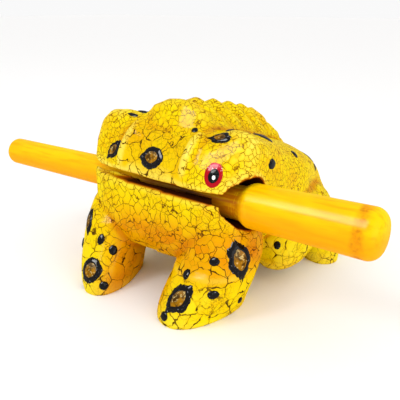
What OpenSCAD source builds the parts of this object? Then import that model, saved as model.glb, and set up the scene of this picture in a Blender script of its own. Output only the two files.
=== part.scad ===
// Frog guiro: a hollow carved frog with a scalloped crest and a turned stick kept through its cheeks.
// Millimetres, +Z up. The frog faces -Y and the stick's thick handle is on +X.

/* [Frog] */
// Length of the carved body, lips to rump
body_l = 92; // [86:1:98]
// Width across the cheeks
head_w = 63; // [60:1:68]
// Height of the forehead, without the crest
back_z = 56.5; // [55:0.5:58]
// Height of the belly above the table
belly_z = 12.5; // [11:0.5:14]
// Lips to the stick's axis
snout = 12; // [10.5:0.5:13.5]

/* [Mouth and hollow] */
// Height of the stick's axis above the table
stick_z = 35.5; // [34:0.5:37]
// Room round the rod in the hole drilled through both cheeks
hole_room = 1.6; // [1.2:0.2:2.2]
// Mouth slit height
slit_h = 2.8; // [2:0.2:3.6]
// Slit's middle above the stick's axis
slit_rise = 4.4; // [3.2:0.4:5.2]
// Slit's tilt, up towards the thin end of the stick
slit_tilt = 2.5; // [0:0.5:4]
// Hollowed chamber, width
chamber_d = 28; // [22:1:30]
// Hollowed chamber, length
chamber_l = 56; // [40:1:60]
// Bevel at both ends of the chamber
chamber_bevel = 6; // [3:0.5:8]
// Wall left between the lips and the chamber
lip_wall = 5; // [4:0.5:7]
// Room round the handle's shoulder in the eased mouth of the hole
eased_room = 1.2; // [0.8:0.1:1.6]
// Depth of the eased mouth
eased_l = 2.8; // [2:0.2:3.4]
// Scooped mouth corner at the handle, width at the cheek
flare_d = 16.4; // [15.6:0.2:17.4]
// Width of the scoop at its inner end
flare_in = 15; // [13:0.5:15.5]
// Depth of the scoop
flare_l = 11; // [9:0.5:13]
// Scoop's middle ahead of the stick's axis
flare_y = 2.2; // [1.4:0.2:3]
// Scoop's middle above the stick's axis
flare_z = 1.6; // [1:0.2:2.2]

/* [Crest] */
// Scallops along the back
lobes = 9; // [7:1:11]
// Crest height above the back
crest_h = 9; // [7.5:0.5:10]
// Crest width at its foot
crest_w = 23; // [18:1:26]
// Depth of the notches between scallops
notch = 2.6; // [1.8:0.2:3.2]

/* [Face] */
// Rise of the two brows above the forehead
brow_h = 4.2; // [3:0.2:5]
// Spacing of the two face ridges
ridge_gap = 25; // [21:0.5:29]
// Width of a ridge
ridge_w = 4.2; // [3:0.2:5]

/* [Legs] */
// Toe tips ahead of the stick's axis
toe_reach = 25; // [23:0.5:27]
// Front foot on the thin end's side, middle from the frog's middle
far_x = 21; // [19:0.5:23]
// Front foot on the handle's side, middle from the frog's middle
near_x = 18; // [16:0.5:20]
// Width of the front foot on the thin end's side
far_w = 18; // [15:0.5:20]
// Width of the front foot on the handle's side
near_w = 21; // [18:0.5:23]
// Outer reach of a hind foot from the frog's middle
hind_x = 40; // [37:0.5:43]

/* [Stick] */
// Thin end's reach from the frog's middle
tip_reach = 82; // [76:1:88]
// Handle's reach from the frog's middle
handle_reach = 71; // [66:1:76]
// Diameter at the thin tip
tip_d = 10.2; // [9:0.1:10.6]
// Diameter where the rod meets the handle
rod_d = 11; // [10.6:0.1:11.6]
// Handle diameter at its shoulder
shoulder_d = 14; // [13.6:0.1:15]
// Handle diameter near its end
handle_d = 15; // [14:0.1:16]
// Length of the swell from the rod to the handle
shoulder_l = 4; // [3:0.5:5]
// Rounding of the handle's end
handle_r = 3.4; // [2:0.1:4]
// Rounding of the thin tip
tip_r = 1.6; // [0.8:0.1:2.5]
// Room between the shoulder and the step in the hole
seat_gap = 0.3; // [0.3:0.1:0.6]

/* [Raised paint] */
// Height of the black rings above the crackle coat
ring_t = 0.6; // [0.4:0.1:0.9]
// Height of the gold centres
gold_t = 0.45; // [0.3:0.1:0.7]
// Height of the small dots
dot_t = 0.5; // [0.3:0.1:0.8]
// Height of the eyes' red ovals
eye_t = 0.5; // [0.4:0.1:0.8]
// Height of the pupils and their highlights
pupil_t = 0.7; // [0.5:0.1:0.9]
// Gold centre's share of its ring
gold_share = 0.5; // [0.4:0.05:0.6]
// Hairline between a dab and what it sits on
hairline = 0.03; // [0.02:0.01:0.05]

/* [Hidden] */
$fn = 72;
half_w = head_w / 2;
hole_d = rod_d + hole_room;
eased_d = shoulder_d + eased_room;
rump_y = body_l - snout;
frog_x = (tip_reach - handle_reach) / 2;
frog_y = (toe_reach - rump_y) / 2;
around = 56;
// How far a cut runs past what it cuts
past = 8;

// Body stations, lips to rump: place, half width, underside, top, squareness above and below
torso = [
    [-snout, 0.5 * half_w, belly_z + 11, back_z - 12.5, 2.8, 2.6],
    [-snout + 0.8, 0.7 * half_w, belly_z + 6.5, back_z - 10.3, 3.6, 2.8],
    [-snout + 3.2, 0.85 * half_w, belly_z + 3, back_z - 7, 4.4, 3],
    [-snout + 7.5, 0.95 * half_w, belly_z + 1, back_z - 2.5, 6, 3],
    [-snout + 12, half_w, belly_z, back_z, 7.5, 3],
    [-snout + 17, half_w, belly_z, back_z, 6.5, 3],
    [-snout + 0.28 * body_l, half_w, belly_z, back_z - 2.5, 4.6, 2.8],
    [-snout + 0.42 * body_l, half_w, belly_z, back_z - 5.5, 3.2, 2.6],
    [-snout + 0.57 * body_l, half_w, belly_z - 1, back_z - 9.5, 2.8, 2.6],
    [-snout + 0.72 * body_l, 0.94 * half_w, belly_z - 2, back_z - 14.5, 2.6, 2.6],
    [-snout + 0.86 * body_l, 0.76 * half_w, belly_z - 2, back_z - 21, 2.4, 2.6],
    [-snout + 0.95 * body_l, 0.52 * half_w, belly_z + 1, back_z - 26.5, 2.2, 2.4],
    [rump_y, 0.2 * half_w, belly_z + 6, back_z - 33.5, 2, 2]
];
// Front leg slices, sole upwards: height, middle x, middle y, half length, half width, turn
function front_leg(x, w) = [
    [-2, x, -8.6, 14.6, 0.36 * w, -16],
    [1.5, x, -toe_reach + 16.4, 16.2, 0.46 * w, -16],
    [7, x + 0.04 * w, -7.2, 15.8, 0.52 * w, -15],
    [13, x + 0.1 * w, -4.5, 14.6, 0.56 * w, -12],
    [20, x + 0.14 * w, -1.5, 13, 0.57 * w, -8],
    [28, x + 0.12 * w, 1.5, 12, 0.5 * w, 0],
    [34, x + 0.05 * w, 3, 9, 0.35 * w, 0]
];
// Thigh sections, knee to hip: x, y, z, half width, half height
thigh = [
    [hind_x - 13, 17, 11, 4, 4],
    [hind_x - 12, 19, 11.5, 7, 6.5],
    [hind_x - 11, 26, 13.5, 9, 9.5],
    [hind_x - 11, 38, 17.5, 9.5, 12],
    [hind_x - 13, 50, 20, 10, 12],
    [hind_x - 18, 61, 20, 10, 10],
    [hind_x - 24, 68, 20, 6, 6]
];
// Hind foot slices, sole upwards: height, middle x, middle y, half length, half width, turn
hind_foot = [
    [-2, hind_x - 9.5, 52, 11.5, 5.8, 50],
    [1.5, hind_x - 9.5, 52, 13, 7.4, 50],
    [5, hind_x - 11, 53.2, 11.8, 7.6, 50],
    [9.5, hind_x - 13.5, 54.8, 10.8, 8, 45],
    [15, hind_x - 16, 56.5, 10, 7.6, 38],
    [20, hind_x - 18, 57, 7, 6, 30]
];
// Raised paint: place, heading and tilt of its face, height, width, turn
rings = [
    [0, -9.9, 48.2, -90, 36, 7, 8.4, 0],
    [-17, -9.5, 47.9, -100, 32, 7.2, 4.6, -12],
    [19.7, -2.6, 56, -90, 60, 4.4, 7.6, 8],
    [22, 20.5, 51.4, 5, 66, 7, 9.5, 0],
    [31.2, -8, 20.9, -28, 17, 12.5, 8, 8],
    [18, -21.5, 9.5, -90, 30, 11.5, 7.5, -35],
    [-18.8, -21.9, 8.1, -87, 30, 9, 7.6, 0],
    [-27, -13, 21.2, -110, 24, 9, 3.6, 20],
    [-32, -2, 17, -170, 5, 11, 8, 0],
    [36.5, 40, 22, 10, 20, 10, 8, 0],
    [-36.5, 40, 22, 170, 20, 10, 8, 0],
    [21, 62, 36, 40, 50, 8, 6, 0],
    [-21, 62, 36, 140, 50, 8, 6, 0]
];
dots = [
    [10.1, -1.5, 56, -90, 70, 1.8, 2, 0],
    [19.5, 3.5, 58.6, 0, 80, 2, 4, 0],
    [-15, 4, 57.6, -90, 85, 3, 6, 0],
    [-16.5, 0.6, 57, -90, 70, 1.6, 4.2, 0],
    [31, 10.2, 46.3, 4, 11, 3.2, 5.2, 0],
    [27.1, 34.5, 43.4, 16, 38, 3.2, 2.6, 0],
    [27.8, 53.8, 34, 23, 33, 3, 2.4, 0],
    [-31, 10.2, 46.3, 176, 11, 3.2, 5.2, 0],
    [-27.1, 34.5, 43.4, 164, 38, 3.2, 2.6, 0],
    [-27.8, 53.8, 34, 157, 33, 3, 2.4, 0],
    [30.6, 17.8, 15.6, -68, 27, 2.8, 2.4, 0],
    [25.7, -13.3, 20.9, -64, 24, 2.6, 3, 0],
    [18.1, -17, 15.8, -96, 34, 3.2, 2.6, 0],
    [14.3, -23.9, 3.2, -94, 12, 2.8, 3, 0],
    [27.2, -16.2, 11.5, -44, 6, 2.8, 3.8, 0],
    [29.7, -4.6, 4.7, -4, -17, 3.2, 2.2, 25],
    [-14.7, -14.9, 14.2, -47, 30, 3.2, 3, 0],
    [-19.4, -15.7, 17.1, -73, 32, 4, 2.6, 0],
    [-28.5, -15, 13, -140, 15, 4, 3, 0],
    [-13.5, -21.4, 3.7, -30, 10, 3, 3.2, 0]
];
// Eyes, then the pupil's and the highlight's share of them
eyes = [
    [22.3, -9.2, 46.4, -70, 20, 7.2, 5.6, -16],
    [-30.4, -1.5, 46.4, -166, 14, 7.2, 5.6, 16]
];
pupil_share = 0.55;
glint_share = 0.2;

function curve(a, b, c, d, t) =
    0.5 * (2 * b + (c - a) * t + (2 * a - 5 * b + 4 * c - d) * t * t + (3 * b - a - 3 * c + d) * t * t * t);
function row(rows, s) =
    let (n = len(rows) - 1, i = min(floor(s), n - 1))
    curve(rows[max(i - 1, 0)], rows[i], rows[i + 1], rows[min(i + 2, n)], s - i);
function oval(a, w, h, p) = pow(pow(abs(cos(a)) / w, p) + pow(abs(sin(a)) / h, p), -1 / p);

// Rise of the brow at station s and share u of the half width
function brow(s, u) =
    brow_h * pow(cos(min(90, max(55 * (4.2 - s), 24 * (s - 4.2)))), 2) * sin(180 * min(1, max(0, (u - 0.5) / 0.7)));
// Skin of the torso at station s, grown by g
function torso_ring(s, g) =
    let (r = row(torso, s), mid = (r[2] + r[3]) / 2, h = (r[3] - r[2]) / 2 + g, w = r[1] + g)
    let (y = r[0] + g * (s < 2 ? s / 2 - 1 : s > 11 ? s - 11 : 0))
    [for (j = [0:around - 1]) let (a = 360 * j / around, q = oval(a, w, h, sin(a) > 0 ? r[4] : r[5]))
        [q * cos(a), y, mid + q * sin(a) + brow(s, q * abs(cos(a)) / w) * max(0, sin(a))]];
function torso_top(s, x) =
    let (r = row(torso, s), h = (r[3] - r[2]) / 2)
    (r[2] + r[3]) / 2 + h * pow(max(0, 1 - pow(x / r[1], r[4])), 1 / r[4]) + brow(s, x / r[1]);
function slice_ring(rows, s, g, n) =
    let (r = row(rows, s))
    [for (j = [0:n - 1]) let (a = -360 * j / n, q = oval(a, r[4] + g, r[3] + g, 2.3))
        let (x = q * cos(a), y = q * sin(a))
        [r[1] + x * cos(r[5]) - y * sin(r[5]), r[2] + x * sin(r[5]) + y * cos(r[5]), r[0] + g * s / len(rows)]];
function thigh_ring(s, g, n) =
    let (r = row(thigh, s))
    [for (j = [0:n - 1]) let (a = 360 * j / n)
        [r[0] + (r[3] + g) * cos(a), r[1], r[2] + (r[4] + g) * sin(a)]];

module loft(rings) {
    n = len(rings[0]);
    m = len(rings);
    sides = [for (i = [0:m - 2], j = [0:n - 1], k = [0, 1])
        let (a = i * n + j, b = i * n + (j + 1) % n)
        k == 0 ? [a, b, b + n] : [a, b + n, a + n]];
    polyhedron(
        points = [for (r = rings) each r],
        faces = concat(sides, [[for (j = [n - 1:-1:0]) j]], [[for (j = [0:n - 1]) (m - 1) * n + j]])
    );
}

module torso_form(g = 0) {
    loft([for (s = [0:1 / 3:12.01]) torso_ring(min(s, 12), g)]);
}

module leg_forms(g = 0) {
    for (side = [0, 1]) {
        mirror([side, 0, 0]) {
            foot = side == 0 ? front_leg(near_x, near_w) : front_leg(far_x, far_w);
            loft([for (s = [0:0.5:6]) slice_ring(foot, s, g, 28)]);
            loft([for (s = [0:0.5:6]) thigh_ring(s, g, 24)]);
            loft([for (s = [0:0.5:5]) slice_ring(hind_foot, s, g, 24)]);
        }
    }
}

function ease(t) = t >= 1 ? 1 : t * t * (3 - 2 * t);
function ends(t) = (0.85 + 0.15 * ease(t / 0.045)) * (0.5 + 0.5 * ease((1 - t) / 0.115));
// Station of the torso at place y
function station(y, a = 0, b = 12) =
    let (m = (a + b) / 2) b - a < 0.01 ? m : row(torso, m)[0] < y ? station(y, m, b) : station(y, a, m);
// Share of the crest's length taken by share p of its lobes: a long one, then shorter ones towards the rump
function lobe_end(p) =
    let (t = (sqrt(0.2916 + 1.84 * p) - 0.54) / 0.92)
    t + max(0, min(0.45 * t, 0.27 * (0.266 - t)));
module crest_form(g = 0) {
    facets = 6;
    front = row(torso, 3.5)[0];
    length = row(torso, 11)[0] - front;
    steps = (lobes - 0.5) * facets;
    loft([for (i = [0:steps])
        let (t = lobe_end(i / steps), r = row(torso, station(front + length * t)))
        let (lobe = abs(cos(180 * i / facets)))
        let (swell = ease((t + 0.02) / 0.1) * (0.97 + 0.45 * t) * (0.2 + 0.8 * ease((1 - t) / 0.35)))
        let (w = crest_w / 2 * (1.1 - 0.35 * t) * (1 + 0.08 * lobe) * ends(t) + g)
        let (h = crest_h * swell + notch * (lobe - 1) * min(1, 2 * swell) + g)
        [for (j = [0:15]) let (a = 360 * j / 16, q = oval(a, w, sin(a) > 0 ? max(1, h + 4) : 6, 2.4))
            [q * cos(a), r[0], r[3] - 4 + q * sin(a)]]]);
}

module ridge_forms(g = 0) {
    for (side = [-1, 1]) {
        loft([for (i = [0:12])
            let (s = 0.9 + 2.7 * i / 12, x = ridge_gap / 2, k = (ridge_w / 2 + g) * sqrt(sin(15 + 150 * i / 12)))
            let (p = [row(torso, s)[0], torso_top(s, x)], d = [row(torso, s + 0.05)[0], torso_top(s + 0.05, x)] - p)
            let (u = d / norm(d))
            [for (j = [0:11]) let (a = 30 * j)
                [side * x + k * cos(a), p[0] - 0.75 * k * sin(a) * u[1], p[1] + 0.75 * k * sin(a) * u[0]]]]);
    }
}

// The carved form, grown by g, soles cut flat on the table
module carved(g = 0) {
    difference() {
        union() {
            torso_form(g);
            leg_forms(g);
            crest_form(g);
            ridge_forms(g);
        }
        translate([-body_l, -body_l, -past]) cube([2 * body_l, 2 * body_l + rump_y, past]);
    }
}

module place_frog() {
    translate([frog_x, frog_y, 0]) children();
}

cheek_x = max([for (s = [4:0.1:6]) row(torso, s)[1]]);

module along_x(x0) {
    translate([x0, 0, stick_z]) rotate([0, 90, 0]) children();
}

module mouth_slit() {
    side = half_w + past;
    lift = side * tan(slit_tilt);
    mid = stick_z + slit_rise;
    half = slit_h / 2;
    rotate([90, 0, 0]) linear_extrude(snout + past)
        polygon([
            [-side, mid + lift - half],
            [side, mid - lift - half],
            [side, mid - lift + half],
            [-side, mid + lift + half]
        ]);
}

// Scooped corner of the mouth, where the lips open out round the handle's seat
module mouth_corner() {
    grow = (flare_d - flare_in) / flare_l;
    translate([0, -flare_y, flare_z]) along_x(half_w - flare_l)
        cylinder(d1 = flare_in, d2 = flare_d + grow * past, h = flare_l + past);
    along_x(cheek_x - eased_l) cylinder(d = eased_d, h = eased_l + past);
}

module chamber() {
    r = chamber_d / 2;
    b = chamber_bevel;
    l = chamber_l;
    translate([0, -snout + lip_wall, stick_z]) rotate([-90, 0, 0]) rotate_extrude()
        polygon([[0, 0], [r - b, 0], [r, b], [r, l - 2 * b], [r - 2 * b, l], [0, l]]);
}

module frog_body() {
    color("gold") place_frog() difference() {
        resize([0, 0, 0]) carved();
        along_x(-head_w) cylinder(d = hole_d, h = 2 * head_w);
        mouth_slit();
        mouth_corner();
        chamber();
    }
}

module dab(d, share = 1, gap = 0, slip = [0, 0]) {
    translate([d[0], d[1], d[2]]) rotate([0, 90 - d[4], d[3]]) rotate([0, 0, d[7]])
        translate([slip[0] * d[5], slip[1] * d[6], -4]) scale([share * d[5] / 2 - gap, share * d[6] / 2 - gap, 1])
        cylinder(r = 1, h = 8, $fn = 18);
}

// A coat of height t over the carved form, kept only where its children are
module coat(t) {
    place_frog() resize([0, 0, 0]) intersection() {
        difference() {
            carved(t);
            carved(hairline);
        }
        union() children();
    }
}

module spot_rings() {
    color("black") coat(ring_t) difference() {
        for (d = rings) dab(d);
        for (d = rings) dab(d, gold_share);
    }
}

module spot_centres() {
    color("darkgoldenrod") coat(gold_t) for (d = rings) dab(d, gold_share, hairline);
}

module dots_black() {
    color("black") coat(dot_t) for (d = dots) dab(d);
}

module eye_reds() {
    color("crimson") coat(eye_t) difference() {
        for (d = eyes) dab(d);
        for (d = eyes) dab(d, pupil_share);
    }
}

module eye_pupils() {
    color("black") coat(pupil_t) difference() {
        for (d = eyes) dab(d, pupil_share, hairline);
        for (d = eyes) dab(d, glint_share, 0, [0.08, 0.06]);
    }
}

module eye_glints() {
    color("white") coat(pupil_t) for (d = eyes) dab(d, glint_share, hairline, [0.08, 0.06]);
}

function arc(x, y, r, a0, a1) = [for (i = [0:6]) let (a = a0 + (a1 - a0) * i / 6) [x + r * cos(a), y + r * sin(a)]];

// The swell to the handle stops against the step in the hole
module stick() {
    swell = (shoulder_d - rod_d) / 2;
    stop = shoulder_l * (0.5 + (hole_room / (2 * swell) - 0.5) / 1.5);
    neck = tip_reach + cheek_x - eased_l + seat_gap - stop;
    end = tip_reach + handle_reach;
    color("orange") place_frog() along_x(-tip_reach) rotate_extrude()
        polygon(concat(
            [[0, 0]],
            arc(tip_d / 2 - tip_r, tip_r, tip_r, -90, 0),
            [for (i = [0:8]) [rod_d / 2 + swell * ease(i / 8), neck + shoulder_l * i / 8]],
            arc(handle_d / 2 - handle_r, end - handle_r - 0.8, handle_r, 0, 80),
            [[0, end]]
        ));
}

frog_body();
stick();
eye_reds();
eye_pupils();
eye_glints();
spot_rings();
spot_centres();
dots_black();
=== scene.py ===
import math

import bmesh
import bpy
import numpy as np
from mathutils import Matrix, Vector, noise
from mathutils.bvhtree import BVHTree


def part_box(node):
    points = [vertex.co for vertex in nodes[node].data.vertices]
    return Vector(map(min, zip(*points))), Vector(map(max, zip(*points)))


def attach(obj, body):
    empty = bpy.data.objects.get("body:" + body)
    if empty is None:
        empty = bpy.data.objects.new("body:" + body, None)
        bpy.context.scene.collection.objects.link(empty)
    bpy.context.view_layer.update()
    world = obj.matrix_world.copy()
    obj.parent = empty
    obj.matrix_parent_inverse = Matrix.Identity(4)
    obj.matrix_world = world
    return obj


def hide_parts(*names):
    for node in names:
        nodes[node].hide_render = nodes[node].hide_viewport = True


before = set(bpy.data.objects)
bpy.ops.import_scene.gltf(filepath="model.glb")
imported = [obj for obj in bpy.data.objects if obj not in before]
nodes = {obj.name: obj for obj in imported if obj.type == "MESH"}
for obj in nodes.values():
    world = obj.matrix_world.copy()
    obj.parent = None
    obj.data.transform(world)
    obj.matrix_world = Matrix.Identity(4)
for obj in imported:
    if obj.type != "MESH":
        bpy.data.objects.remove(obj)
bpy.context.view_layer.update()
scene = bpy.context.scene
mm = 0.001

# Where the frog and its stick are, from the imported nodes
frogLow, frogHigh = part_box("frog_body")
stickLow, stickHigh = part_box("stick")
middleX = (frogLow.x + frogHigh.x) / 2
stickAxis = (stickLow + stickHigh) / 2
print("frame loaded:", len(nodes), "nodes")

cameraLook = {
    "place": (107.8, -157.9, 92.4),  # millimetres
    "azimuth": 35,  # degrees round the frog
    "elevation": 20.4,
    "lens": 47.25,
    "nearest": 10,
}


def setCamera(look):
    data = bpy.data.cameras.new("camera")
    data.lens = look["lens"]
    data.clip_start = look["nearest"] * mm
    camera = bpy.data.objects.new("camera", data)
    camera.location = Vector(look["place"]) * mm
    camera.rotation_euler = (math.radians(90 - look["elevation"]), 0, math.radians(look["azimuth"]))
    scene.collection.objects.link(camera)
    scene.camera = camera


setCamera(cameraLook)


# Shader sums

class Wire:
    def __init__(self, tree, socket=None):
        self.tree = tree
        self.socket = socket

    def node(self, kind, settings, sockets, out=0):
        made = self.tree.nodes.new(kind)
        for name, value in settings.items():
            setattr(made, name, value)
        for key, value in sockets.items():
            if isinstance(value, Wire):
                self.tree.links.new(value.socket, made.inputs[key])
            else:
                made.inputs[key].default_value = value
        return Wire(self.tree, made.outputs[out])

    def sum(self, operation, a, b):
        return self.node("ShaderNodeMath", {"operation": operation}, {0: a, 1: b})

    def __add__(self, other):
        return self.sum("ADD", self, other)

    def __sub__(self, other):
        return self.sum("SUBTRACT", self, other)

    def __rsub__(self, other):
        return self.sum("SUBTRACT", other, self)

    def __mul__(self, other):
        return self.sum("MULTIPLY", self, other)

    __radd__ = __add__
    __rmul__ = __mul__


def paint(red, green, blue):  # a screen colour, 0 to 255, as the shader's own
    def straight(c):
        c = c / 255
        return c / 12.92 if c <= 0.04045 else ((c + 0.055) / 1.055) ** 2.4
    return (straight(red), straight(green), straight(blue), 1)


def newFinish(name, fixed):
    material = bpy.data.materials.new(name)
    material.use_nodes = True
    shader = material.node_tree.nodes["Principled BSDF"]
    for socket, value in fixed.items():
        shader.inputs[socket].default_value = value
    return material, shader, Wire(material.node_tree)


def newCoat(name, weight, roughness):  # a dull paint under a clear coat, which alone mirrors
    return newFinish(name, {"Specular IOR Level": 0, "Coat Weight": weight, "Coat Roughness": roughness})


def feed(shader, socket, wire):
    wire.tree.links.new(wire.socket, shader.inputs[socket])


def tint(amount, under, over):
    return amount.node("ShaderNodeMix", {"data_type": "RGBA"}, {0: amount, 6: under, 7: over}, 2)


def ease(value, low, high, start=0, end=1):
    sockets = {"Value": value, "From Min": low, "From Max": high, "To Min": start, "To Max": end}
    return value.node("ShaderNodeMapRange", {"interpolation_type": "SMOOTHSTEP"}, sockets)


def larger(a, b):
    return a.sum("MAXIMUM", a, b)


def onPiece(wire):
    return wire.node("ShaderNodeTexCoord", {}, {}, "Object")


def grains(place, scale, detail=2, out="Fac"):
    sockets = {"Vector": place, "Scale": scale, "Detail": detail}
    return place.node("ShaderNodeTexNoise", {}, sockets, out)


def cells(place, scale, feature, out):
    return place.node("ShaderNodeTexVoronoi", {"feature": feature}, {"Vector": place, "Scale": scale}, out)


def stored(wire, name):
    return wire.node("ShaderNodeAttribute", {"attribute_name": name}, {}, "Fac")


def vector(place, operation, other):
    return place.node("ShaderNodeVectorMath", {"operation": operation}, {0: place, 1: other})


def relief(shader, height, strength, depth):  # depth in millimetres
    sockets = {"Strength": strength, "Distance": depth * mm, "Height": height}
    feed(shader, "Normal", height.node("ShaderNodeBump", {}, sockets))


# Finishes: grains are counted to the metre, a coat is its weight and roughness, a bump its strength and depth

crackle = {
    "yellow": paint(237, 213, 6),
    "orange": paint(226, 146, 2),
    "deep": paint(196, 104, 2),
    "cream": paint(252, 232, 104),
    # dark inside the slit, hole and chamber: bare wood and painted shade
    "hollow": paint(60, 24, 6),
    "coat": (0.08, 0.12),
    "bump": (0.5, 0.2),
    "grains": {"drift": 420, "patches": 75, "thinness": 260, "breaks": 330, "zones": 130, "pores": 900},
    "wander": 2.2,  # millimetres, as the cells, half widths and soft edges
    "soft": 0.1,
    "width": (0.1, 2.4),  # a crack's least width and what thin lacquer adds, as shares of its half width
    "fine": {"cell": 1.8, "half": 0.015, "colour": paint(132, 76, 4)},
    "middle": {"cell": 2.8, "half": 0.025, "colour": paint(90, 44, 4)},
    "wide": {"cell": 5.0, "half": 0.07, "colour": paint(58, 26, 6)},
    "patchWarmth": 0.3,  # how much orange the patches, single cells and cracks' edges have, and how much painted shade the hollows get
    "cellWarmth": 0.16,
    "edgeWarmth": 0.2,
    "hollowWarmth": 0.7,
    "ridgeCream": (0.25, 0.52),  # painted highlight on raised edges, at a crack and between cracks
    "faint": 0.5,  # fine cracks among the wider ones
    "breaks": (0.15, 0.8),  # what shows of a broken crack, and what a whole one adds
}


def cracks(place, look, thin, size):  # how near a crack is in millimetres, the crack, and each cell's tone
    scale = 1 / (size["cell"] * mm)
    least, more = look["width"]
    near = cells(place, scale, "DISTANCE_TO_EDGE", "Distance") * size["cell"]
    line = ease(near - size["half"] * (least + more * thin * thin), look["soft"], 0)
    tones = cells(place, scale, "F1", "Color")
    return near, line, tones.node("ShaderNodeSeparateColor", {}, {0: tones}, 0)


def crackleCoat(look):
    material, shader, wire = newCoat("crackleCoat", *look["coat"])
    place = onPiece(wire)
    count = look["grains"]
    drift = vector(grains(place, count["drift"], out="Color"), "SUBTRACT", (0.5, 0.5, 0.5))
    warped = vector(place, "ADD", vector(drift, "MULTIPLY", (look["wander"] * mm,) * 3))
    patchy = grains(place, count["patches"], 3)
    thin = ease(grains(place, count["thinness"]), 0.3, 0.7)
    whole = ease(grains(place, count["breaks"], 3), 0.34, 0.46)
    zone = stored(wire, "zone") + 0.8 * (grains(place, count["zones"]) - 0.5)
    fineShare = ease(zone, 0.65, 0.35)
    wideShare = ease(zone, 1.35, 1.65)
    shares = {"fine": fineShare, "middle": 1 - fineShare - wideShare, "wide": wideShare}

    near, line, tone = 0, 0, 0
    for name, part in shares.items():
        edge, gap, cell = cracks(warped, look, thin, look[name])
        near = part * edge + near
        line = part * gap + line
        tone = part * cell + tone
        if name == "fine":
            faint = gap * (1 - part) * ease(patchy, 0.45, 0.6) * look["faint"]
    crack = tint(fineShare, look["middle"]["colour"], look["fine"]["colour"])
    crack = tint(wideShare, crack, look["wide"]["colour"])

    # painted shade: orange under the head and the stick, on the legs' inner sides and over the face
    warmShade = stored(wire, "warmShade")
    warmth = ease(patchy, 0.45, 0.7) * look["patchWarmth"] + look["cellWarmth"] * tone * tone
    colour = tint(larger(warmth, warmShade * (0.6 + 0.4 * tone)), look["yellow"], look["orange"])
    colour = tint(warmShade * warmShade * (0.2 + 0.5 * ease(patchy, 0.4, 0.7)), colour, look["deep"])
    # painted shade: deep orange in hollows and creases
    colour = tint(stored(wire, "hollow") * look["hollowWarmth"], colour, look["deep"])
    colour = tint(ease(near, 0.6, 0.1) * look["edgeWarmth"], colour, look["orange"])
    # painted highlight: cream along raised edges
    colour = tint(stored(wire, "ridge") * ease(near, 0, 0.4, *look["ridgeCream"]), colour, look["cream"])
    colour = tint(faint, colour, look["fine"]["colour"])
    least, more = look["breaks"]
    colour = tint(line * (least + more * whole), colour, crack)
    # dark brown inside the slit, hole and chamber: bare wood and painted shade
    inside = stored(wire, "inside")
    colour = tint(ease(inside, 0, 0.4), colour, look["deep"])
    feed(shader, "Base Color", tint(ease(inside, 0.25, 0.9), colour, look["hollow"]))
    feed(shader, "Roughness", 0.3 + 0.35 * line + 0.25 * inside + 0.1 * thin)
    pores = grains(place, count["pores"], 3)
    relief(shader, (1 - line) + 0.5 * ease(near, 0, 0.8) + 0.1 * pores, *look["bump"])
    return material


enamel = {
    "yellow": paint(250, 206, 4),
    "orange": paint(240, 154, 2),
    # brown for worn wood and scuffs, and for the painted shade in the hole
    "brown": paint(186, 100, 6),
    "rust": paint(226, 138, 4),
    # the dark brown of the painted shade inside the mouth
    "mouthShadeColour": paint(74, 36, 8),
    "coat": (0.14, 0.2),
    "bump": (0.12, 0.1),
    "grains": {"streaks": 800, "clouds": 60, "scuffs": 700, "rings": 1800},
    "band": ((-8.6, -6.2), (-3.4, -6.2)),  # from the handle's end, where it starts and is whole on each side
    "rubbedAndShaded": ((4, 0), (-42, -30)),  # the same from the neck: brown where the rod turns in the hole, worn wood and painted shade
    # painted shade: dark brown on the rod where it lies in the mouth, as the same from the neck
    "mouthShade": ((-7, -17), (-42, -25)),
    "turned": ((-3, 0), (6, 3)),  # the rings that the lathe left
    "shadedBelow": (5, -1),  # painted shade, more orange on the lower half: over the axis, where it starts and is whole
    "shadedBelowWander": 4,
}


def stretch(x, start, ends):  # 1 along a stretch of the stick, less towards its two ends
    (low, lowWhole), (high, highWhole) = ends
    rising = ease(x, start + low * mm, start + lowWhole * mm)
    return rising * ease(x, start + high * mm, start + highWhole * mm)


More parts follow.
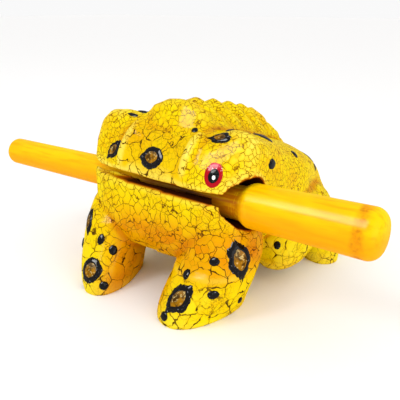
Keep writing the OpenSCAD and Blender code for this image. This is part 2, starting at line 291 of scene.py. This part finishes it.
def stickEnamel(look, neckX):
    material, shader, wire = newCoat("stickEnamel", *look["coat"])
    place = onPiece(wire)
    count = look["grains"]
    streaks = grains(vector(place, "MULTIPLY", (0.1, 1, 1)), count["streaks"], 3)
    rings = grains(vector(place, "MULTIPLY", (1, 0.15, 0.15)), count["rings"])
    clouds = grains(place, count["clouds"], 3)
    scuffs = grains(place, count["scuffs"], 3)
    x = place.node("ShaderNodeSeparateXYZ", {}, {0: place}, "X")
    z = place.node("ShaderNodeSeparateXYZ", {}, {0: place}, "Z")
    band = stretch(x, stickHigh.x, look["band"])
    rubbedAndShaded = stretch(x, neckX, look["rubbedAndShaded"]) * (0.6 + 0.35 * ease(streaks, 0.35, 0.6))
    mouthShade = stretch(x, neckX, look["mouthShade"]) * (0.45 + 0.4 * ease(streaks, 0.35, 0.65))
    turned = stretch(x, neckX, look["turned"]) * ease(rings, 0.55, 0.7)
    # painted shade: the lower half of the stick is more orange
    top, below = (stickAxis.z + d * mm for d in look["shadedBelow"])
    shadedBelow = ease(z + look["shadedBelowWander"] * mm * (clouds - 0.5), top, below)
    colour = tint(larger(ease(clouds, 0.35, 0.7) * 0.4, shadedBelow * 0.75), look["yellow"], look["orange"])
    colour = tint(ease(streaks, 0.45, 0.7) * 0.5, colour, look["orange"])
    colour = tint(band * (0.45 + 0.5 * ease(scuffs, 0.4, 0.6)), colour, look["rust"])
    # brown where the rod sits in the hole is wear and painted shade; at the handle's end it is scuffs
    colour = tint(larger(band * ease(scuffs, 0.52, 0.7) * 0.45, rubbedAndShaded), colour, look["brown"])
    # painted shade: dark brown on the rod inside the mouth
    colour = tint(mouthShade, colour, look["mouthShadeColour"])
    colour = tint(turned * 0.5, colour, look["yellow"])
    feed(shader, "Base Color", colour)
    feed(shader, "Roughness", 0.24 + 0.16 * clouds)
    relief(shader, streaks, *look["bump"])
    return material


blackLook = {
    "black": paint(9, 8, 9),
    "brown": paint(34, 24, 18),
    # the grey of the painted highlight on the rims
    "glintGrey": paint(168, 170, 182),
    "coat": (0.3, 0.08),
    "bump": (0.6, 0.2),
    "grains": {"mottle": 900, "glintGrain": 1500},
}


def blackPaint(look):
    material, shader, wire = newCoat("blackPaint", *look["coat"])
    place = onPiece(wire)
    mottle = grains(place, look["grains"]["mottle"], 3)
    # painted highlight: bluish grey glints along the dabs' rims
    paintedGlint = ease(grains(place, look["grains"]["glintGrain"]), 0.66, 0.74) * stored(wire, "rim")
    colour = tint(ease(mottle, 0.5, 0.75) * 0.7, look["black"], look["brown"])
    feed(shader, "Base Color", tint(paintedGlint * 0.6, colour, look["glintGrey"]))
    feed(shader, "Roughness", 0.2 + 0.3 * mottle)
    relief(shader, mottle, *look["bump"])
    return material


goldLook = {
    "gold": paint(164, 112, 10),
    "brown": paint(72, 46, 8),
    "cream": paint(226, 200, 128),
    "grey": paint(128, 118, 92),
    "coat": (0.08, 0.1),
    "bump": (0.5, 0.25),
    "grains": {"swirl": 520, "flecks": 1300},
}


def goldPaint(look):
    material, shader, wire = newCoat("goldPaint", *look["coat"])
    place = onPiece(wire)
    swirl = grains(place, look["grains"]["swirl"], 4)
    flecks = grains(place, look["grains"]["flecks"], 3)
    colour = tint(ease(swirl, 0.38, 0.62), look["gold"], look["brown"])
    colour = tint(stored(wire, "rise") * 0.3, colour, look["grey"])
    colour = tint(ease(flecks, 0.55, 0.7) * 0.85, colour, look["cream"])
    feed(shader, "Base Color", colour)
    feed(shader, "Roughness", 0.28 + 0.2 * swirl)
    relief(shader, swirl + 0.5 * flecks, *look["bump"])
    return material


eyeLook = {
    "red": paint(172, 6, 22),
    "reflectionPink": paint(222, 66, 92),
    "white": paint(250, 226, 226),
    "coat": (0.25, 0.08),
    "grains": 1600,
}


def eyeRed(look):
    material, shader, wire = newCoat("eyeRed", *look["coat"])
    flecks = grains(onPiece(wire), look["grains"])
    rise = stored(wire, "rise")
    # painted reflection: pink and white flecks towards the eye's top
    colour = tint(ease(rise, 0.3, 1.0), look["red"], look["reflectionPink"])
    colour = tint(ease(flecks, 0.6, 0.7) * ease(rise, 0.2, 0.6), colour, look["white"])
    feed(shader, "Base Color", colour)
    feed(shader, "Roughness", 0.2 + 0.15 * flecks)
    return material


pupilLook = {"main": paint(8, 8, 9), "clouds": paint(44, 52, 50), "coat": (0.2, 0.08), "grains": 1200}
glintLook = {**pupilLook, "main": paint(250, 250, 248), "clouds": paint(226, 228, 226)}


def cloudyPaint(name, look):
    material, shader, wire = newCoat(name, *look["coat"])
    clouds = grains(onPiece(wire), look["grains"])
    feed(shader, "Base Color", tint(ease(clouds, 0.45, 0.75), look["main"], look["clouds"]))
    feed(shader, "Roughness", 0.2 + 0.15 * clouds)
    return material


# Pieces

joinWithin = 0.002 * mm  # points nearer than this are one


def newPiece(name, bm, material, body):
    mesh = bpy.data.meshes.new(name)
    bm.to_mesh(mesh)
    bm.free()
    mesh.shade_smooth()
    mesh.materials.append(material)
    piece = bpy.data.objects.new(name, mesh)
    scene.collection.objects.link(piece)
    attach(piece, body)
    return piece


def settle(piece):  # the modifiers become the mesh
    graph = bpy.context.evaluated_depsgraph_get()
    mesh = bpy.data.meshes.new_from_object(piece.evaluated_get(graph))
    piece.modifiers.clear()
    piece.data = mesh


# Millimetres: across from the frog's middle, along the stick from there, back from the stick's axis, and
# height over the table. A place has pairs for these, where a form starts and where it is whole.
frogForm = {
    "voxel": 0.67,
    "joinWithin": 0.005,
    "smooth": {
        "passes": 4,
        "edgePasses": 3,  # of these, for the edges of the mouth and the hole
        "broadPasses": 17,  # take all detail away
        "detail": 0.5,  # how much of it is put back
    },
    "slit": {
        "rise": 4.4,  # over the stick's axis
        "tilt": 2.5,  # degrees
        "height": 2.8,
        "edge": 0.25,  # how far beyond the slit its walls still count
        "back": 2,
    },
    "lips": {
        "band": 2.2,  # how far from the slit they reach
        "roll": 0.15,
        "back": -5,
        "slot": 2,  # their front is read in slots of this width
        "rim": (0.5, 3),  # from what lies this far from the slit
        "deep": 0.7,  # behind that front, where the slit's walls start
    },
    "scoop": {  # the mouth's corner at the handle's side
        "axis": (2.2, 1.6),  # ahead of the stick's and over it
        "rimR": 9.4,
        "rimFrom": 19,
        "wallR": 8.5,
        "wallFrom": 18,
        "endTo": 22,
    },
    "hole": {"easedR": 7.9, "rimR": 9.5, "rimFrom": 15.75},
    "facingIn": -0.5,  # how much a wall of the hole or the corner faces its axis
    "chamber": {
        "radius": 14.2,
        "back": (-8, 50),
        "forwards": 0.95,  # ahead of the axis, what faces forwards or back more than this is no wall of it
        "outwards": 0.2,  # what faces outwards more than this is in the crest's notches, which come as low
    },
    "knife": {"span": 9, "depth": 0.2},
    "ledge": {"height": 15.5, "half": 1.1, "rise": 0.45, "back": 5},  # over the near foot
    "faceRidges": {
        "along": 12.4,
        "half": 1.2,
        "rise": 0.3,
        "groove": (0.4, 2.2, 0.9),  # depth to the rise, place and half width to the half width
        "place": {"height": [(43, 46)], "back": [(1, -3)]},
    },
    "soles": {"height": [(0.3, 1.1)]},
    "nearBrow": {"lower": 1.7, "place": {"across": [(10, 16), (34, 27)], "height": [(52, 59)]}},
    "farDip": {  # beside the crest
        "higher": 1.4,
        "place": {"across": [(-10, -13), (-23, -15)], "height": [(50, 55)], "back": [(-4, 3), (26, 14)]},
    },
    "thighs": {
        "slimmer": 1.2,
        "lower": 2.5,
        "place": {"along": [(26, 30)], "height": [(19, 27), (37, 32)], "back": [(38, 46)]},
    },
    "handleGap": {"closer": 1.17, "place": {"radius": [(7.9, 10.5), (16, 10.5)], "across": [(21, 27)]}},
    "crest": {
        "notches": (9.0, 18.4, 29.2, 38.6, 47.1, 54.9, 62.2, 69.0, 75.4),  # back from the stick's axis
        "notchDepth": 2.0,
        "runIn": 6,  # ahead of the first notch
        "top": {"along": [(11, 7)], "height": [(38, 42)]},
        "lower": 1.8,  # how much lower the shoulders are than the top
        "shoulders": {"along": [(0.5, 7), (13, 9)], "height": [(44, 50)], "back": [(6, 14)]},
        "fillPasses": 42,  # smooth the crest's sides out, and the grooves are filled up towards that
        "fillRounds": 2,
        "fillMost": 2,
        "fillShare": 0.9,
        "sides": {"along": [(13, 11)], "height": [(44, 48)]},
        "nearSide": {"along": [(1, 5)]},
        "farSide": {"along": [(5, 9)]},
    },
    "cutBack": {  # the far side of the face is carved back to the stick
        "way": (-1.0, 1, -0.44),
        "depth": 3.6,
        "side": {"across": [(18, -24)], "height": [(22, 34)]},
        "front": {"back": [(-6, -10.6)]},
        "frontInside": {"back": [(-3, -6.5)]},  # in the slit and the hole
    },
    "lacquer": {  # what the crackle, the painted shade in hollows and under the head and the painted highlight on edges follow: zone 0 has fine cracks, 1 middle ones and 2 wide ones
        "hollow": {"passes": 35, "deep": 0.45, "from": 0.1},
        "ridge": {"passes": 10, "high": 0.2, "from": 0.4, "least": 0.3, "crestLess": 0.8},
        "front": {"back": [(20, 10)], "height": [(40, 43)]},
        "crestTop": {"along": [(14, 12)], "height": [(54, 57)]},
        "slitEnd": {"across": [(-8, -18)]},
        "slitEndLess": 0.85,  # the slit's far end is yellow within, with less of the dark inside
        # the face's warm share is painted shade
        "face": {"half": 13, "height": (40, 55), "back": 20, "zone": 2.0, "warmShade": 0.4},
        "legs": {"height": 21, "zone": 1.58, "inner": {"height": [(34, 26)]}},
        "chest": {"height": 40, "back": 4, "zone": 0.75},
        "blurPasses": 4,
        # painted shade, orange under the head and the stick, and on the legs' inner sides
        "warmShade": {"height": 22, "half": 9, "place": {"back": [(11, 3)]}},
        "warmSide": {"across": [(-22, -12)]},
        "warmFar": 0.3,  # what is left of it on the far side
    },
}


def share(values, start, whole):
    return np.clip((values - start) / (whole - start), 0, 1)


def measures(points):
    across, back, height = ((points - (middleX, stickAxis.y, 0)) / mm).T
    return {"across": across, "along": np.abs(across), "back": back, "height": height}


def within(where, place):
    whole = 1
    for name, pairs in place.items():
        for pair in pairs:
            whole = whole * share(where[name], *pair)
    return whole


def around(points, ahead=0, above=0):  # distances and ways out from the stick's axis, or one ahead and above
    out = (points[:, 1:] - np.array(stickAxis[1:])) / mm + (ahead, -above)
    length = np.hypot(out[:, 0], out[:, 1])
    return length, out / np.maximum(length, 1e-6)[:, None]


def carveBack(points, form, inside=0):
    where = measures(points)
    side = within(where, form["side"])
    front = within(where, form["front"])
    moved = points + form["depth"] * mm * (side * front)[:, None] * np.array(form["way"])
    moreInside = inside * (within(where, form["frontInside"]) - front)
    moved[:, 2] += form["depth"] * mm * form["way"][2] * side * moreInside
    return moved


def places(bm):
    return np.array([v.co for v in bm.verts])


def move(bm, points):
    for v, point in zip(bm.verts, points):
        v.co = point


def facings(bm):
    bm.normal_update()
    return np.array([v.normal for v in bm.verts])


def averaged(values, links, passes):
    count = np.bincount(links.ravel(), minlength=len(values))
    for _ in range(passes):
        total = np.zeros_like(values)
        for k in range(values.shape[1]):
            total[:, k] += np.bincount(links[:, 0], values[links[:, 1], k], len(values))
            total[:, k] += np.bincount(links[:, 1], values[links[:, 0], k], len(values))
        values = total / count[:, None]
    return values


def blurred(values, links, passes):
    return averaged(values.astype(float)[:, None], links, passes)[:, 0]


def standing(points, normals, links, passes):  # how far each point stands out from those round it
    return np.sum((points - averaged(points, links, passes)) * normals, axis=1) / mm


def slitGap(points, slit):  # how far above or below the slit's edges each point is
    x = (points[:, 0] - middleX) / mm
    z = (points[:, 2] - stickAxis.z) / mm - slit["rise"] + x * math.tan(math.radians(slit["tilt"]))
    return np.abs(z) - slit["height"] / 2


def behindLips(points, gap, lips):  # how far behind the lips in front of it each point is
    slot = ((points[:, 0] - frogLow.x) / (lips["slot"] * mm)).astype(int)
    front = np.full(slot.max() + 1, np.inf)
    low, high = lips["rim"]
    rims = (gap > low) & (gap < high)
    np.minimum.at(front, slot[rims], points[rims, 1])
    return (points[:, 1] - front[slot]) / mm


def meshFrog(form, material):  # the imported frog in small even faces
    bm = bmesh.new()
    bm.from_mesh(nodes["frog_body"].data)
    bmesh.ops.remove_doubles(bm, verts=bm.verts, dist=form["joinWithin"] * mm)
    frog = newPiece("frogCarving", bm, material, "frog")
    remesh = frog.modifiers.new("remesh", "REMESH")
    remesh.mode = "VOXEL"
    remesh.voxel_size = form["voxel"] * mm
    settle(frog)
    return frog


def smoothFrog(bm, links, form):
    points = places(bm)
    where = measures(points)
    slit, scoop, hole = form["slit"], form["scoop"], form["hole"]
    lips = (where["back"] < slit["back"]) & (slitGap(points, slit) < form["lips"]["band"])
    away, _ = around(points, *scoop["axis"])
    corner = (away < scoop["rimR"]) & (where["across"] > scoop["rimFrom"])
    away, _ = around(points)
    rim = (away < hole["rimR"]) & (where["along"] > hole["rimFrom"])
    edges = (lips | corner | rim)[:, None]
    smooth = form["smooth"]
    for step in range(smooth["passes"]):
        points = np.where(edges & (step >= smooth["edgePasses"]), points, averaged(points, links, 1))
    detail = points - averaged(points, links, smooth["broadPasses"])
    points = points + smooth["detail"] * detail * ~edges
    move(bm, averaged(points, links, 1))
    print("frog smoothed:", len(points), "points")


def markFrog(bm, where, form):  # rolled lips, the ledge over a foot, ridges on the face and the knife's marks
    points, normals = places(bm), facings(bm)
    lips, knife, ledge, ridges = (form[name] for name in ("lips", "knife", "ledge", "faceRidges"))
    frontal = np.clip(-normals[:, 1] * 2, 0, 1)  # 1 where the wood faces well forwards
    gap = slitGap(points, form["slit"])
    roll = np.sin(np.pi * np.clip(gap / lips["band"], 0, 1)) * (where["back"] < lips["back"]) * frontal
    marks = np.array([noise.noise(v.co / (knife["span"] * mm)) for v in bm.verts])
    step = np.exp(-((where["height"] - ledge["height"]) / ledge["half"]) ** 2) * frontal
    step *= (where["across"] > 0) & (where["back"] < ledge["back"])
    off = (where["along"] - ridges["along"]) / ridges["half"]
    depth, place, half = ridges["groove"]
    folds = np.exp(-off ** 2) - depth * np.exp(-((np.abs(off) - place) / half) ** 2)
    folds *= within(where, ridges["place"])
    rise = lips["roll"] * roll + knife["depth"] * marks + ledge["rise"] * step + ridges["rise"] * folds
    points += normals * rise[:, None] * mm
    points[:, 2] *= within(measures(points), form["soles"])  # the soles are flat on the table
    return points


def shapeFrog(points, where, form):  # two unlike sides, slimmer thighs, and lips close to the handle
    brow, dip, thighs, gap = (form[name] for name in ("nearBrow", "farDip", "thighs", "handleGap"))
    points[:, 2] -= brow["lower"] * mm * within(where, brow["place"])
    points[:, 2] += dip["higher"] * mm * within(where, dip["place"])
    slim = within(where, thighs["place"])
    points[:, 0] -= thighs["slimmer"] * mm * slim * np.sign(where["across"])
    points[:, 2] -= thighs["lower"] * mm * slim
    radius, out = around(points)
    closer = gap["closer"] * mm * within({**where, "radius": radius}, gap["place"])
    points[:, 1:] -= out * closer[:, None]


def carveCrest(bm, points, links, where, crest):
    # notches between the lobes and lower shoulders, so that the lobes show on the outline
    notches = crest["notches"]
    lobe = np.interp(where["back"], notches, np.arange(len(notches)))
    between = 1 - np.abs(np.sin(np.pi * lobe))
    between *= share(where["back"], notches[0] - crest["runIn"], notches[0]) ** 3
    notched = crest["notchDepth"] * between * within(where, crest["top"])
    points[:, 2] -= (notched + crest["lower"] * within(where, crest["shoulders"])) * mm
    move(bm, points)
    # on the crest's sides the grooves are filled again
    sides = np.where(where["across"] > 0, within(where, crest["nearSide"]), within(where, crest["farSide"]))
    sides *= within(where, crest["sides"]) * crest["fillShare"]
    for _ in range(crest["fillRounds"]):
        normals = facings(bm)
        deep = -standing(points, normals, links, crest["fillPasses"])
        points += normals * (np.clip(deep, 0, crest["fillMost"]) * sides * mm)[:, None]
        move(bm, points)


def openings(points, normals, where, form):  # what is in the slit, hole, mouth's corner or chamber
    slit, lips, scoop, hole, chamber = (form[name] for name in ("slit", "lips", "scoop", "hole", "chamber"))
    across, back = where["across"], where["back"]
    gap = slitGap(points, slit)
    inSlit = (gap < slit["edge"]) & (behindLips(points, gap, lips) > lips["deep"]) & (back < slit["back"])
    away, out = around(points)
    inHole = (away < hole["easedR"]) & (np.sum(out * normals[:, 1:], axis=1) < form["facingIn"])
    away, out = around(points, *scoop["axis"])
    wall = (np.sum(out * normals[:, 1:], axis=1) < form["facingIn"]) | (across < scoop["endTo"])
    inCorner = (away < scoop["wallR"]) & (across > scoop["wallFrom"]) & wall
    fromMiddle = np.hypot(points[:, 0] - middleX, points[:, 2] - stickAxis.z) / mm
    front, end = chamber["back"]
    inChamber = (fromMiddle < chamber["radius"]) & (back > front) & (back < end)
    inChamber &= (np.abs(normals[:, 1]) < chamber["forwards"]) | (back > 0)
    outwards = (points[:, 0] - middleX) * normals[:, 0] + (points[:, 2] - stickAxis.z) * normals[:, 2]
    inChamber &= outwards / mm < chamber["outwards"] * fromMiddle
    return inSlit | inHole | inCorner | inChamber


def lacquerGuides(points, normals, links, inside, form):
    where = measures(points)
    across, height, back = where["across"], where["height"], where["back"]
    hollow, ridge, face, legs, chest, warmShade = (
        form[name] for name in ("hollow", "ridge", "face", "legs", "chest", "warmShade"))
    # painted shade in the hollows
    lift = standing(points, normals, links, hollow["passes"]) / hollow["deep"]
    # painted highlight on raised edges, less on the crest's top
    edge = standing(points, normals, links, ridge["passes"]) / ridge["high"]
    edge = np.clip(edge - ridge["from"], 0, 1) * (1 - ridge["crestLess"] * within(where, form["crestTop"]))
    edge *= ridge["least"] + (1 - ridge["least"]) * within(where, form["front"])
    chin, top = face["height"]
    onFace = (where["along"] < face["half"]) & (height > chin) & (height < top) & (back < face["back"])
    onChest = (back < chest["back"]) & (height < chest["height"])
    zone = np.where(onChest, chest["zone"], 0.0)
    zone = np.where(onFace, face["zone"], np.where(height < legs["height"], legs["zone"], zone))
    # painted shade under the head and the stick, on the legs' inner sides and over the face
    warmShading = np.exp(-((height - warmShade["height"]) / warmShade["half"]) ** 2) * within(where, warmShade["place"])
    warmShading *= form["warmFar"] + (1 - form["warmFar"]) * within(where, form["warmSide"])
    inner = np.clip(-np.sign(across) * normals[:, 0], 0, 1) * within(where, legs["inner"])
    warmShading = np.maximum(np.maximum(warmShading, inner), face["warmShade"] * blurred(onFace, links, form["blurPasses"]))
    return {
        "ridge": edge,
        "hollow": np.clip(-lift - hollow["from"], 0, 1),
        "inside": inside * (1 - form["slitEndLess"] * within(where, form["slitEnd"])),
        "zone": blurred(zone, links, form["blurPasses"]),
        "warmShade": warmShading,
    }


def carveFrog(form, material):
    frog = meshFrog(form, material)
    bm = bmesh.new()
    bm.from_mesh(frog.data)
    links = np.array([[v.index for v in e.verts] for e in bm.edges])
    smoothFrog(bm, links, form)
    where = measures(places(bm))
    points = markFrog(bm, where, form)
    where = {**measures(points), "along": where["along"]}  # along as it was under the marks
    shapeFrog(points, where, form)
    carveCrest(bm, points, links, where, form["crest"])

    normals = facings(bm)
    inside = blurred(openings(points, normals, measures(points), form), links, 1)
    for name, values in lacquerGuides(points, normals, links, inside, form["lacquer"]).items():
        layer = bm.verts.layers.float.new(name)
        for v, value in zip(bm.verts, values):
            v[layer] = value
    move(bm, carveBack(points, form["cutBack"], inside))
    bm.to_mesh(frog.data)
    bm.free()
    frog.data.shade_smooth()
    frog.data.materials.clear()
    frog.data.materials.append(material)
    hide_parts("frog_body")
    return frog


frog = carveFrog(frogForm, crackleCoat(crackle))
skin = BVHTree.FromObject(frog, bpy.context.evaluated_depsgraph_get())
print("frog carved")

stickForm = {
    "tipR": 5.1,  # millimetres
    "rodR": 5.5,
    "shoulderR": 7.0,
    "handleR": 7.5,
    "tipRound": 1.6,
    "neck": 26.9,  # where the swell to the handle starts, from the frog's middle
    "swell": 4,
    "swellSteps": 16,
    "handleRound": 3.4,
    "dome": 1.2,
    "roundSteps": 8,
    "long": 20,  # edges longer than this are cut
    "cuts": 40,
    "steps": 96,
}


def turnStick(form, look):
    neckX = middleX + form["neck"] * mm
    swell = []
    for k in range(form["swellSteps"] + 1):
        t = k / form["swellSteps"]
        r = form["rodR"] + (form["shoulderR"] - form["rodR"]) * t * t * (3 - 2 * t)
        swell.append((neckX + form["swell"] * t * mm, r, 0))
    corners = [
        (stickLow.x, 0, 0),
        (stickLow.x, form["tipR"], form["tipRound"]),
        *swell,
        (stickHigh.x - form["dome"] * mm, form["handleR"], form["handleRound"]),
        (stickHigh.x, 0, 0),
    ]
    bm = bmesh.new()
    outline = [bm.verts.new((x, stickAxis.y, stickAxis.z + r * mm)) for x, r, _ in corners]
    bm.faces.new(outline)
    for v, (_, _, bend) in zip(outline, corners):
        if bend:
            bmesh.ops.bevel(bm, geom=[v], offset=bend * mm, segments=form["roundSteps"], profile=0.5,
                            affect="VERTICES", material=-1)
    bmesh.ops.delete(bm, geom=list(bm.faces), context="FACES_ONLY")
    for e in [e for e in bm.edges if all(abs(v.co.z - stickAxis.z) < 1e-7 for v in e.verts)]:
        bm.edges.remove(e)  # the line along the axis
    longEdges = [e for e in bm.edges if e.calc_length() > form["long"] * mm]
    bmesh.ops.subdivide_edges(bm, edges=longEdges, cuts=form["cuts"])
    geom = list(bm.verts) + list(bm.edges)
    bmesh.ops.spin(bm, geom=geom, cent=stickAxis, axis=(1, 0, 0), angle=2 * math.pi, steps=form["steps"],
                   use_merge=True)
    bmesh.ops.remove_doubles(bm, verts=bm.verts, dist=joinWithin)
    bmesh.ops.recalc_face_normals(bm, faces=bm.faces)
    stick = newPiece("turnedStick", bm, stickEnamel(look, neckX), "stick")
    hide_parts("stick")


turnStick(stickForm, enamel)
print("stick turned")


# Raised paint

plainDab = {
    "sides": 40,
    "insets": (0.05, 0.08, 0.12, 0.15, 0.2, 0.2),
    "share": 1.0,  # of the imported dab's size
    "long": 1.2,  # how unlike the two spreads of a dab are that has a long way
    "slim": (1.2, 1.5),  # length to width where the point and the tail start, and where the point is whole
    "round": 1.25,  # length to width under which a dab is round, and wobbles less
    "roundWobble": 0.6,
    "wobble": 0.08,
    "waves": ((2, 1, 7.3), (6, 0.6, 3.1), (15, 0.4, 5.7)),  # fineness, strength, and step from dab to dab
    "point": 0.0,  # 0 is an oval, more draws the ends to points
    "tail": 0.0,
    "tailPower": 24,
    "height": 0.5,  # millimetres, as the next ones
    "full": 1.6,  # half width under which a dab is lower
    "lift": 0.0,
    "edge": 0.08,  # how far the edge lies under the skin
    "sunk": 0.3,
    "reach": (5, 9),  # how far over the skin it is looked for, and how far down
    "dome": (3, 0.6),
    "well": 0.0,
    "wellR": 0.65,
    "slip": 0.0,  # along the dab's upward way
}
dabForms = {
    "spot_rings": {**plainDab, "sides": 72, "wobble": 0.18, "point": 0.5, "tail": 0.16, "height": 0.75,
                   "well": 0.5},
    "spot_centres": {**plainDab, "wobble": 0.1, "point": 0.4, "height": 0.35, "lift": 0.4, "share": 1.2},
    "dots_black": {**plainDab, "wobble": 0.1, "point": 0.2, "height": 0.6},
    "eye_reds": {**plainDab, "wobble": 0.04, "height": 0.45},
    "eye_pupils": {**plainDab, "wobble": 0.05, "height": 0.35, "lift": 0.35, "slip": -0.12},
    "eye_glints": {**plainDab, "wobble": 0.06, "height": 0.2, "lift": 0.66, "slip": -0.5},
}


def islands(node):  # the points of each of a node's separate dabs
    bm = bmesh.new()
    bm.from_mesh(nodes[node].data)
    bmesh.ops.remove_doubles(bm, verts=bm.verts, dist=joinWithin)
    bm.verts.index_update()
    seen, found = set(), []
    for start in bm.verts:
        if start.index in seen:
            continue
        seen.add(start.index)
        group = [start]
        for v in group:  # the list grows as it is walked
            for other in (e.other_vert(v) for e in v.link_edges):
                if other.index not in seen:
                    seen.add(other.index)
                    group.append(other)
        carved = carveBack(np.array([v.co for v in group]), frogForm["cutBack"])  # as the skin is
        found.append([Vector(p) for p in carved])
    bm.free()
    return found


def readSpot(points, longFrom):  # place, facing, long and wide directions and half sizes of one dab
    middle = sum(points, Vector()) / len(points)
    place, facing, _, _ = skin.find_nearest(middle)
    up = (Vector((0, 0, 1)) - facing * facing.z).normalized()
    side = up.cross(facing)
    flat = np.array([[(p - middle).dot(up), (p - middle).dot(side)] for p in points])
    spread, turned = np.linalg.eigh(flat.T @ flat)
    turn = turned[:, 1] if spread[1] > longFrom * spread[0] else np.array([1.0, 0.0])
    turn = turn if turn[0] >= 0 else -turn
    longWay = up * turn[0] + side * turn[1]
    wideWay = longWay.cross(facing)
    reach = [max(abs((p - middle).dot(way)) for p in points) for way in (longWay, wideWay)]
    return {"place": place, "facing": facing, "up": up, "long": longWay, "wide": wideWay, "reach": reach}


def onSkin(flat, facing, reach):  # the skin's place and normal under a point of the dab
    over, down = reach
    hit, normal, _, _ = skin.ray_cast(flat + facing * over * mm, -facing, down * mm)
    if hit is None:
        hit, normal, _, _ = skin.find_nearest(flat)
    return hit, normal


def newDab(spot, form, seed):
    bm = bmesh.new()
    rim = bm.verts.layers.float.new("rim")
    rise = bm.verts.layers.float.new("rise")
    bmesh.ops.create_circle(bm, cap_ends=True, segments=form["sides"], radius=1)
    top = list(bm.faces)
    for step in form["insets"]:
        bmesh.ops.inset_region(bm, faces=top, thickness=step, use_boundary=True, use_even_offset=True)
    bmesh.ops.poke(bm, faces=top)
    halfLong, halfWide = spot["reach"]
    slim = halfLong / halfWide
    point = form["point"] * share(slim, *form["slim"])
    tail = form["tail"] * (slim > form["slim"][0])
    wobble = form["wobble"] * (form["roundWobble"] if slim < form["round"] else 1)
    most = form["height"] * min(1, halfWide / form["full"] / mm)
    domePower, domeRound = form["dome"]
    for v in bm.verts:
        out = min(1, math.hypot(v.co.x, v.co.y))
        turn = math.atan2(v.co.y, v.co.x)
        cos, sin = math.cos(turn), math.sin(turn)
        wave = 0
        for fineness, strength, step in form["waves"]:
            wave += strength * noise.noise(Vector((fineness * cos, fineness * sin, seed * step)))
        size = form["share"] * (1 + wobble * wave * out)
        along = halfLong * size * cos * (1 + tail * max(0, -cos) ** form["tailPower"])
        across = halfWide * size * sin * abs(sin) ** point
        flat = spot["place"] + (spot["long"] * along + spot["wide"] * across) * out
        flat += spot["up"] * form["slip"] * halfLong
        hit, normal = onSkin(flat, spot["facing"], form["reach"])
        dome = max(0, 1 - out ** domePower) ** domeRound
        well = form["well"] * max(0, 1 - (out / form["wellR"]) ** 2)
        height = form["lift"] + most * (dome - well) - form["edge"]
        v.co = hit + (normal + spot["facing"]).normalized() * height * mm
        v[rim] = out
        v[rise] = max(-1, min(1, (flat - spot["place"]).dot(spot["up"]) / halfLong))
    skirt = bmesh.ops.extrude_edge_only(bm, edges=[e for e in bm.edges if e.is_boundary])["geom"]
    for v in (g for g in skirt if isinstance(g, bmesh.types.BMVert)):
        v.co -= spot["facing"] * form["sunk"] * mm
    bmesh.ops.edgeloop_fill(bm, edges=[e for e in bm.edges if e.is_boundary])
    mesh = bpy.data.meshes.new("dab")
    bm.to_mesh(mesh)
    bm.free()
    return mesh


def layDabs(node, name, form, material):
    bm = bmesh.new()
    bm.verts.layers.float.new("rim")
    bm.verts.layers.float.new("rise")
    for seed, points in enumerate(islands(node)):
        dab = newDab(readSpot(points, form["long"]), form, seed)
        bm.from_mesh(dab)
        bpy.data.meshes.remove(dab)
    bmesh.ops.recalc_face_normals(bm, faces=bm.faces)
    piece = newPiece(name, bm, material, "frog")
    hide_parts(node)


black = blackPaint(blackLook)
layDabs("spot_rings", "spotRings", dabForms["spot_rings"], black)
layDabs("spot_centres", "spotCentres", dabForms["spot_centres"], goldPaint(goldLook))
layDabs("dots_black", "blackDots", dabForms["dots_black"], black)
layDabs("eye_reds", "eyeReds", dabForms["eye_reds"], eyeRed(eyeLook))
pupilBlack = cloudyPaint("pupilBlack", pupilLook)
layDabs("eye_pupils", "eyePupils", dabForms["eye_pupils"], pupilBlack)
glintWhite = cloudyPaint("glintWhite", glintLook)
layDabs("eye_glints", "eyeGlints", dabForms["eye_glints"], glintWhite)
print("paint laid")


# Floor and light

studio = {
    "floor": paint(250, 249, 248),
    "floorHalf": 4,  # metres, as the lights
    "sky": 0.95,
    "sun": (33, 80, 0.3),  # height and heading in degrees, strength
    "sunAngle": 40,
    "aim": (0, 0, 0.03),
    "lights": (  # place, size, watts, and whether it lights or is only mirrored
        ((-0.2, -0.45, 0.53), 0.2, 0.9, True),
        ((0.38, -0.12, 0.04), 0.3, 0.5, True),
        ((-0.12, -0.42, 0.6), 0.38, 11, False),
    ),
}


def setFloor(look):
    bm = bmesh.new()
    bmesh.ops.create_grid(bm, x_segments=1, y_segments=1, size=look["floorHalf"])
    mesh = bpy.data.meshes.new("floor")
    bm.to_mesh(mesh)
    bm.free()
    floor = bpy.data.objects.new("floor", mesh)
    scene.collection.objects.link(floor)
    material, _, _ = newFinish("floorPale", {"Base Color": look["floor"], "Roughness": 0.8})
    mesh.materials.append(material)


def setLight(look):
    world = bpy.data.worlds.new("studio")
    world.use_nodes = True
    world.node_tree.nodes["Background"].inputs["Color"].default_value = (1, 1, 1, 1)
    world.node_tree.nodes["Background"].inputs["Strength"].default_value = look["sky"]
    scene.world = world
    height, heading, strength = look["sun"]
    data = bpy.data.lights.new("sun", "SUN")
    data.energy = strength
    data.angle = math.radians(look["sunAngle"])
    sun = bpy.data.objects.new("sun", data)
    sun.rotation_euler = (math.radians(90 - height), 0, math.radians(heading))
    scene.collection.objects.link(sun)
    for k, (place, size, watts, lighting) in enumerate(look["lights"]):
        data = bpy.data.lights.new(f"softbox{k}", "AREA")
        data.size = size
        data.energy = watts
        light = bpy.data.objects.new(f"softbox{k}", data)
        light.visible_diffuse = lighting
        light.location = place
        light.rotation_euler = (Vector(look["aim"]) - Vector(place)).to_track_quat("-Z", "Y").to_euler()
        scene.collection.objects.link(light)
    scene.view_settings.view_transform = "Standard"


setFloor(studio)
setLight(studio)
print("studio set")
